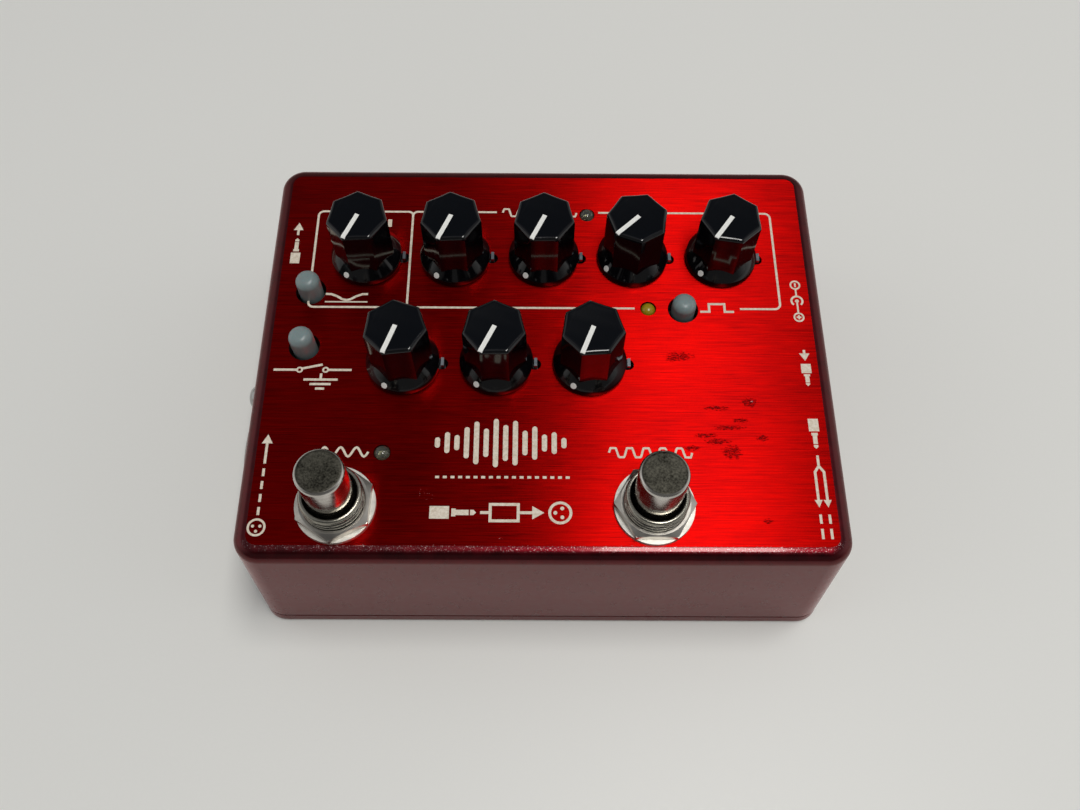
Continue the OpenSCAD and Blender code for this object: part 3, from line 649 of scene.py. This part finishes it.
# ---- Knobs ----
def grip_ring(z, inset, n=14):
    """Seven slightly hollow sides with softened corners; the first corner lies under the pointer (+X)."""
    sides, corner_r, hollow_r, hollow_depth = 7, 6.5, 26.0, 0.2
    limit_r, sharpness = 6.6, 2.5
    half = math.pi / sides
    centre = corner_r * math.cos(half) + hollow_r - hollow_depth
    pts = []
    for k in range(sides):
        for j in range(n):
            d = -half + 2 * half * j / n
            r = centre * math.cos(d) - math.sqrt(hollow_r ** 2 - (centre * math.sin(d)) ** 2)
            r = -math.log(math.exp(-sharpness * r) + math.exp(-sharpness * limit_r)) / sharpness
            a = 2 * half * (k + 0.5) + d
            pts.append(((r - inset) * math.cos(a), (r - inset) * math.sin(a), z))
    return pts


def knob_body():
    """Grip with a rounded, very slightly sunk top, on a flared skirt."""
    edge, arc_steps, sunk = 0.8, 8, 0.05
    rows = [grip_ring(z, 0) for z in (1.3, 3.0, 8.0)]
    for k in range(arc_steps + 1):
        a = math.radians(90 * k / arc_steps)
        rows.append(grip_ring(KNOB_H - edge + edge * math.sin(a), edge * (1 - math.cos(a))))
    rows.append(grip_ring(KNOB_H - sunk, 1.2))
    skirt = [(3.2, 0.62), (7.15, 0.5), (7.3, 0.58), (7.35, 0.75), (7.35, 1.72), (7.33, 1.86), (7.27, 2.0),
             (6.3, 3.32), (5.2, 4.8), (3.2, 4.8)]
    return merge([loft(rows), tube_lathe(skirt, 96)])


def pointer_mark():
    """Filled line from the middle of the top over its rounded rim, and the dot on the skirt."""
    half, depth = 0.45, 0.2
    path = ((-0.3, 14.87), (0.2, 14.87), (4.6, 14.87), (4.9, 14.93), (5.5, 14.93), (5.75, 14.88),
            (5.93, 14.76))
    line = loft([[(r, -half, z), (r, half, z), (r, half, z - depth), (r, -half, z - depth)]
                 for r, z in path])
    dot = lathe([(0, -0.2), (0.64, -0.2), (0.64, 0.02), (0.58, 0.06), (0, 0.08)], 32)
    turn = Matrix.Rotation(math.radians(-8), 4, "Z") @ Matrix.Translation((6.95, 0, 2.42)) \
        @ Matrix.Rotation(math.radians(53.4), 4, "Y")
    return merge([line, ([tuple(turn @ Vector(v)) for v in dot[0]], dot[1])])


def build_knob(name, x, y, turn):
    place = Matrix.Translation((x * MM, y * MM, PANEL * MM)) @ Matrix.Rotation(math.radians(turn), 4, "Z")
    body = f"control_{name}"
    knob = shade(make_object(f"grip_{name}", *knob_body()), 38)
    knob.matrix_world = place
    dress(knob, M["knob_black"], body)
    dress_faces(knob, KNOB_CAP, lambda f: f.normal.z > 0.99 and f.center.z > (KNOB_H - 0.1) * MM)
    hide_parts(f"knob_{name}")
    mark = shade(make_object(f"mark_{name}", *pointer_mark()), 30)
    mark.matrix_world = place
    dress(mark, POINTER, body)


# ---- Foot switches and indicators ----
def threaded_bushing():
    """Sleeve round Z with a helical groove outside and a rounded rim."""
    seg, row_h, depth, groove = 72, 0.094, 0.5, 0.40
    low, high = UNDER - 0.2, BOX_H + 6.35
    rows = int((high - low) / row_h)
    rings = []
    for i in range(rows + 1):
        z = low + (high - low) * i / rows
        ring = []
        for k in range(seg):
            a = 2 * math.pi * k / seg
            turn = (z / THREAD_PITCH - k / seg) % 1.0
            cutin = 0.12 if i == rows else depth * max(0.0, 1 - abs(turn - 0.5) / groove)
            ring.append(((THREAD_R - cutin) * math.cos(a), (THREAD_R - cutin) * math.sin(a), z))
        rings.append(ring)
    for r, z in ((5.80, 6.5), (5.62, 6.74), (5.4, 6.8), (5.15, 6.74), (5.0, 6.4), (BORE_R, 5.4)):
        rings.append(around(r, BOX_H + z, seg))
    rings.append(around(BORE_R, low, seg))
    return loft(rings, close=True)


def build_bushings():
    """Both bushings with the cans of their switches; the open grooves get a painted shade."""
    floor_z = UNDER - CAN_H
    can = tube_lathe([(BORE_R, floor_z), (CAN_R - 0.3, floor_z), (CAN_R, floor_z + 0.3), (CAN_R, UNDER - 0.3),
                      (CAN_R - 0.2, UNDER), (BORE_R, UNDER)])
    floor = cylinder(BORE_R + 0.15, floor_z, floor_z + 7.2)
    bushings = make_object("threaded_bushings", *merge(
        [moved(part, x, y) for x, y in FEET for part in (threaded_bushing(), can, floor)]))
    shade(bushings, 40)
    dress(bushings, WORN_THREAD)

    def in_groove(face):
        x, y, z = face.center / MM
        r = min(math.hypot(x - fx, y - fy) for fx, fy in FEET)
        return PANEL < z < BOX_H + 6.3 and 5.4 < r < 5.84

    # painted shade: the groove faces are painted near-black
    dress_faces(bushings, GROOVE_SHADE, in_groove)
    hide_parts("footswitch_bodies")


def build_lamp_cups():
    """Cup, post and fine wire inside every indicator lens."""
    base = UNDER + 0.9
    cup = lathe([(0, base), (0.95, base), (1.05, base + 0.2), (1.12, base + 0.95), (1.0, base + 0.95),
                 (0.6, base + 0.35), (0, base + 0.35)], 32)
    post = cylinder(0.22, base + 0.1, base + 0.62, 16)
    parts = []
    for x, y, proud in LEDS:
        wire = cylinder(0.13, base, PANEL + proud - 0.9, 12)
        parts += [moved(cup, x, y), moved(post, x, y), moved(wire, x + 0.75, y + 0.3)]
    dress(shade(make_object("lamp_cups", *merge(parts)), 35), DIE)


# ---- Printing on the panel: frame lines and plain signs ----
class Ink:
    """Thin raised strokes, gathered into one mesh."""

    low, height, step = PANEL - 0.03, 0.026, 0.0025

    def __init__(self):
        self.verts, self.faces, self.strokes = [], [], 0

    def top(self):
        """Strokes differ in height by microns so that crossing strokes never share a face."""
        self.strokes += 1
        return PANEL + self.height + self.step * (self.strokes % 6)

    def prism(self, outline):
        base, n, top = len(self.verts), len(outline), self.top()
        self.verts += [(x, y, z) for z in (top, self.low) for x, y in outline]
        self.faces.append(tuple(range(base, base + n)))
        self.faces.append(tuple(range(base + 2 * n - 1, base + n - 1, -1)))
        self.faces += [(base + k, base + n + k, base + n + (k + 1) % n, base + (k + 1) % n) for k in range(n)]

    def line(self, pts, width, closed=False):
        """A band of even width along the points, mitred at its bends."""
        n = len(pts)
        side = []
        for i in range(n):
            before = pts[i - 1] if (closed or i > 0) else pts[i]
            after = pts[(i + 1) % n] if (closed or i < n - 1) else pts[i]
            d1 = Vector((pts[i][0] - before[0], pts[i][1] - before[1]))
            d2 = Vector((after[0] - pts[i][0], after[1] - pts[i][1]))
            d1 = d1.normalized() if d1.length > 1e-9 else d2.normalized()
            d2 = d2.normalized() if d2.length > 1e-9 else d1
            across = Vector((-d1.y, d1.x))
            mitre = (across + Vector((-d2.y, d2.x))).normalized()
            reach = width / 2 / max(0.35, mitre.dot(across))
            side.append((mitre.x * reach, mitre.y * reach))
        base = len(self.verts)
        for z in (self.top(), self.low):
            for s in (1, -1):
                self.verts += [(p[0] + s * o[0], p[1] + s * o[1], z) for p, o in zip(pts, side)]
        lt, rt, lb, rb = (base + k * n for k in range(4))
        for i in range(n if closed else n - 1):
            j = (i + 1) % n
            self.faces += [(lt + i, lt + j, rt + j, rt + i), (lb + j, lb + i, rb + i, rb + j),
                           (lt + j, lt + i, lb + i, lb + j), (rt + i, rt + j, rb + j, rb + i)]
        if not closed:
            self.faces += [(lt + i, rt + i, rb + i, lb + i) for i in (0, n - 1)]


ink = Ink()


def arc(cx, cy, r, a0, a1, n=6):
    return [(cx + r * math.cos(math.radians(a0 + (a1 - a0) * k / n)),
             cy + r * math.sin(math.radians(a0 + (a1 - a0) * k / n))) for k in range(n + 1)]


class Sign:
    """Draws plain signs in a local frame whose u runs along the sign."""

    def __init__(self, x, y, turn=0.0, size=1.0):
        self.x, self.y, self.size = x, y, size
        self.c, self.s = math.cos(math.radians(turn)), math.sin(math.radians(turn))

    def at(self, u, v):
        u, v = u * self.size, v * self.size
        return self.x + u * self.c - v * self.s, self.y + u * self.s + v * self.c

    def line(self, pts, w=0.5, closed=False):
        ink.line([self.at(*p) for p in pts], w * self.size, closed)

    def along(self, u0, u1, v=0.0, w=0.5):
        self.line([(u0, v), (u1, v)], w)

    def fill(self, pts):
        ink.prism([self.at(*p) for p in pts])

    def bar(self, u0, u1, v0, v1):
        self.fill([(u0, v0), (u1, v0), (u1, v1), (u0, v1)])

    def ring(self, u, v, r, w=0.4):
        self.line(arc(u, v, r, 0, 345, 23), w, True)

    def disc(self, u, v, r):
        self.fill(arc(u, v, r, 0, 337.5, 15))

    def arrow(self, u0, u1, v=0.0, w=0.5, head=1.9, half=1.05):
        """An arrow along +u."""
        self.along(u0, u1 - head * 0.8, v, w)
        self.fill([(u1, v), (u1 - head, v + half), (u1 - head, v - half)])

    def three_pins(self, u, r, pin_u, pin_v):
        """The round three-pin socket, one pin on u and two beside it."""
        self.ring(u, 0, r, 0.42)
        for du, dv in ((-0.75, 0.0), (pin_u, pin_v), (pin_u, -pin_v)):
            self.disc(u + du, dv, 0.3)

    def plug(self, u, length):
        """A jack plug lying along u, its tip at the end."""
        half, tip = 0.42, 0.4
        self.bar(u, u + 0.42 * length, -1.0, 1.0)
        self.bar(u + 0.47 * length, u + 0.56 * length, -0.62, 0.62)
        self.bar(u + 0.56 * length, u + 0.84 * length, -half, half)
        self.fill([(u + 0.87 * length, -half), (u + length - tip, -half), (u + length, 0),
                   (u + length - tip, half), (u + 0.87 * length, half)])


def print_frame():
    """Rounded frame round the rear controls, divided behind the first knob and open for signs."""
    width, left, right, low, high, divider = 0.46, -48.7, 49.0, 8.8, 33.0, -28.3
    start, r_left, r_divider, r_right = -46.6, 1.1, 1.0, 1.2
    ink.line([(start, low), *arc(left + r_left, low + r_left, r_left, 270, 180), (left, high - r_left),
              *arc(left + r_left, high - r_left, r_left, 180, 90), (divider - r_divider, high),
              *arc(divider - r_divider, high - r_divider, r_divider, 90, 0), (divider, low)], width)
    ink.line([*arc(divider + r_divider, high - r_divider, r_divider, 170, 90), (-10.2, high)], width)
    ink.line([(start, low), (18.8, low)], width)
    ink.line([(11.8, high), *arc(right - r_right, high - r_right, r_right, 90, 0),
              *arc(right - r_right, low + r_right, r_right, 0, -90), (40.6, low)], width)


def print_output_sign():
    s = Sign(-52.65, 24.7, 90)
    s.plug(-5.2, 6.4)
    s.arrow(2.0, 5.2)


def print_xlr_sign():
    """Three-pin socket with a dashed arrow."""
    s = Sign(-53.3, -30.4, 90)
    s.three_pins(-8.6, 1.55, 0.25, 0.68)
    for u in (-6.2, -3.6, -1.0, 1.6):
        s.along(u, u + 1.6)
    s.arrow(4.2, 10.3)


def print_power_sign():
    """Polarity of the supply: minus, socket, plus."""
    s = Sign(52.6, 10.8, -90)
    w, end, r = 0.36, 3.9, 0.95
    s.ring(-end, 0, r, w)
    s.along(-end - 0.5, -end + 0.5, w=w)
    s.along(-2.95, -1.2, w=w)
    s.line(arc(0, 0, 1.15, 40, 320, 16), 0.42)
    s.disc(0, 0, 0.42)
    s.along(0.4, 2.95, w=w)
    s.ring(end, 0, r, w)
    s.along(end - 0.5, end + 0.5, w=w)
    s.line([(end, -0.5), (end, 0.5)], w)


def print_input_sign():
    s = Sign(52.7, -4.9, -90)
    s.arrow(-4.1, -1.6, head=1.7)
    s.plug(-0.9, 5.0)


def print_parallel_sign():
    """A plug whose path forks into two arrows."""
    s = Sign(52.7, -28.6, -90)
    v = 0.85
    s.plug(-12.4, 6.4)
    s.along(-4.6, -2.6)
    s.line([(0.8, v), (-1.2, v), (-2.4, 0), (-1.2, -v), (0.8, -v)])
    s.arrow(0.8, 6.0, v, half=0.75, head=1.5)
    s.arrow(0.8, 6.0, -v, half=0.75, head=1.5)
    for u0, u1 in ((7.4, 9.2), (10.2, 12.2)):
        s.along(u0, u1, v)
        s.along(u0, u1, -v)


def print_ground_sign():
    """An open switch in a line, over the earth sign."""
    s = Sign(-46.2, -5.9)
    s.along(-7.8, -3.1)
    s.ring(-2.6, 0, 0.5, 0.36)
    s.line([(-2.2, 0.25), (1.9, 1.2)])
    s.ring(2.6, 0, 0.5, 0.36)
    s.along(3.1, 7.8)
    s = Sign(-44.4, -9.1)
    s.line([(0, 2.4), (0, 1.2)])
    for half, v in ((3.4, 1.0), (2.1, 0.0), (0.9, -1.0)):
        s.along(-half, half, v)


def print_tone_sign():
    """A response curve over a rail."""
    s = Sign(-40.9, 11.2)
    half_curve = ((0.8, -0.55), (2.0, 0.2), (3.2, 0.7), (4.4, 0.75))
    s.line([*((-u, v) for u, v in reversed(half_curve)), (0, -0.75), *half_curve])
    s.along(-4.4, 4.4, -1.15, 0.3)


def print_gate_sign():
    s = Sign(35.8, 9.0)
    s.line([(-3.5, -0.9), (-1.6, -0.9), (-1.6, 0.95), (1.6, 0.95), (1.6, -0.9), (3.5, -0.9)])


def print_waves():
    """Plain wave at the left foot switch, clipped waves at the right one and in the frame."""
    height, points = 0.95, 36
    Sign(-38.3, -23.7).line([(-4.6 + 9.2 * k / points, height * math.sin(2 * math.pi * 3 * k / points))
                             for k in range(points + 1)], 0.45)
    gain, points = 1.9, 96
    clipped = [(-8.0 + 16.0 * k / points,
                height * max(-1.0, min(1.0, gain * math.sin(2 * math.pi * 5 * k / points))))
               for k in range(points + 1)]
    for x, y in ((20.6, -23.6), (-0.9, 32.9)):
        Sign(x, y).line(clipped, 0.42)


def print_level_wedges():
    """Rising steps behind the rear knobs."""
    for x, y in ((-36.2, 30.0), (-17.2, 30.2), (0.6, 30.0), (18.9, 30.0), (37.6, 30.0)):
        s = Sign(x, y)
        for k in range(5):
            u = -3.6 + 1.55 * k
            s.bar(u, u + 0.85, -1.0, -0.5 + 0.36 * k)


def print_middle():
    """Sound bars, a dotted rule, and the path of a signal from a jack plug to the round socket."""
    heights = (2.2, 4.4, 3.2, 6.6, 9.0, 6.0, 10.2, 7.6, 9.4, 5.2, 7.0, 3.6, 4.6, 2.2)
    middle_y, r = -21.65, 0.5
    for k, h in enumerate(heights):
        x = -20.5 + 1.88 * k
        ink.prism([*arc(x, middle_y + h / 2 - r, r, 0, 180, 8),
                   *arc(x, middle_y - h / 2 + r, r, 180, 360, 8)])
    rule_y, dot = -28.8, 0.75
    for k in range(18):
        x = -20.6 + 1.46 * k
        ink.line([(x, rule_y), (x + dot, rule_y)], 0.5)
    s = Sign(-7.6, -35.9, size=1.25)
    s.plug(-11.0, 7.0)
    s.along(-3.4, -1.9, w=0.45)
    s.line([(-1.9, -1.3), (2.3, -1.3), (2.3, 1.3), (-1.9, 1.3)], 0.45, True)
    s.arrow(2.3, 6.2, w=0.45, head=1.8)
    s.three_pins(8.6, 1.6, 0.3, 0.7)


build_case()
build_base_plate()
for name, (x, y, turn) in KNOBS.items():
    build_knob(name, x, y, turn)
build_bushings()
build_lamp_cups()
for draw in (print_frame, print_output_sign, print_xlr_sign, print_power_sign, print_input_sign,
             print_parallel_sign, print_ground_sign, print_tone_sign, print_gate_sign, print_waves,
             print_level_wedges, print_middle):
    draw()
dress(make_object("panel_print", ink.verts, ink.faces), INK)


# ---- Stage: desk, light and camera ----
def add_desk():
    """The desk lies a hair below the cover, so that the two never share a plane."""
    bpy.ops.mesh.primitive_plane_add(size=6, location=(0, 0, -0.05 * MM))
    desk = bpy.context.object
    desk.name = "desk"
    desk.data.materials.append(desk_material())


def add_key_light():
    """A soft lamp to the right, turned to the object, its long side as near to Y as that allows."""
    place = Vector((0.21, -0.09, 1.2))
    light = bpy.data.lights.new("key_light", "AREA")
    light.shape = "RECTANGLE"
    light.size, light.size_y = 0.25, 0.66
    light.energy = 7.0
    light.color = (1.0, 0.985, 0.95)
    lamp = bpy.data.objects.new("key_light", light)
    scene.collection.objects.link(lamp)
    back = place.normalized()
    side = Vector((0, 1, 0)).cross(back).normalized()
    turn = Matrix((side, back.cross(side), back)).transposed().to_4x4()
    turn.translation = place
    lamp.matrix_world = turn


def add_world():
    """Bright round the horizon, darker overhead, and dimmer towards the front and the rear."""
    world = bpy.data.worlds.new("studio")
    scene.world = world
    world.use_nodes = True
    tree = world.node_tree
    background = next(n for n in tree.nodes if n.type == "BACKGROUND")
    direction = tree.nodes.new("ShaderNodeSeparateXYZ")
    tree.links.new(tree.nodes.new("ShaderNodeTexCoord").outputs["Generated"], direction.inputs[0])
    ramp = tree.nodes.new("ShaderNodeValToRGB")
    horizon, shoulder = ramp.color_ramp.elements
    horizon.position, horizon.color = 0.0, (0.73, 0.73, 0.72, 1)
    shoulder.position, shoulder.color = 0.52, (0.75, 0.75, 0.74, 1)
    # only now: the stops are kept in order, so a new one would have moved the second
    ramp.color_ramp.elements.new(0.70).color = (0.26, 0.265, 0.28, 1)
    tree.links.new(direction.outputs[2], ramp.inputs[0])
    tree.links.new(ramp.outputs[0], background.inputs[0])
    product = tree.nodes.new("ShaderNodeMath")
    product.operation = "MULTIPLY"
    for socket, (edge, full, least) in zip(product.inputs, ((-0.65, -0.15, 0.2), (0.80, 0.30, 0.35))):
        dim = tree.nodes.new("ShaderNodeMapRange")
        for key, value in (("From Min", edge), ("From Max", full), ("To Min", least), ("To Max", 1.0)):
            dim.inputs[key].default_value = value
        tree.links.new(direction.outputs[1], dim.inputs["Value"])
        tree.links.new(dim.outputs["Result"], socket)
    tree.links.new(product.outputs[0], background.inputs[1])


def add_camera():
    """Pitch is down from the horizon, yaw to the right of +Y, roll about the line of sight."""
    data = bpy.data.cameras.new("camera")
    data.sensor_fit = "HORIZONTAL"
    data.sensor_width = 36.0
    data.lens = 33.23
    data.clip_start = 0.01
    camera = bpy.data.objects.new("camera", data)
    scene.collection.objects.link(camera)
    pitch, yaw, roll = math.radians(64.083), math.radians(0.546), math.radians(0.772)
    look = Vector((math.sin(yaw) * math.cos(pitch), math.cos(yaw) * math.cos(pitch), -math.sin(pitch)))
    right = Vector((math.cos(yaw), -math.sin(yaw), 0))
    up = right.cross(look)
    axes = (right * math.cos(roll) + up * math.sin(roll), up * math.cos(roll) - right * math.sin(roll), -look)
    place = Matrix(axes).transposed().to_4x4()
    place.translation = Vector((-1.525, -99.252, 214.522)) * MM
    camera.matrix_world = place
    scene.camera = camera


scene = bpy.context.scene
add_desk()
add_key_light()
add_world()
add_camera()
scene.view_settings.view_transform = "Standard"
scene.view_settings.look = "None"
scene.cycles.use_denoising = True
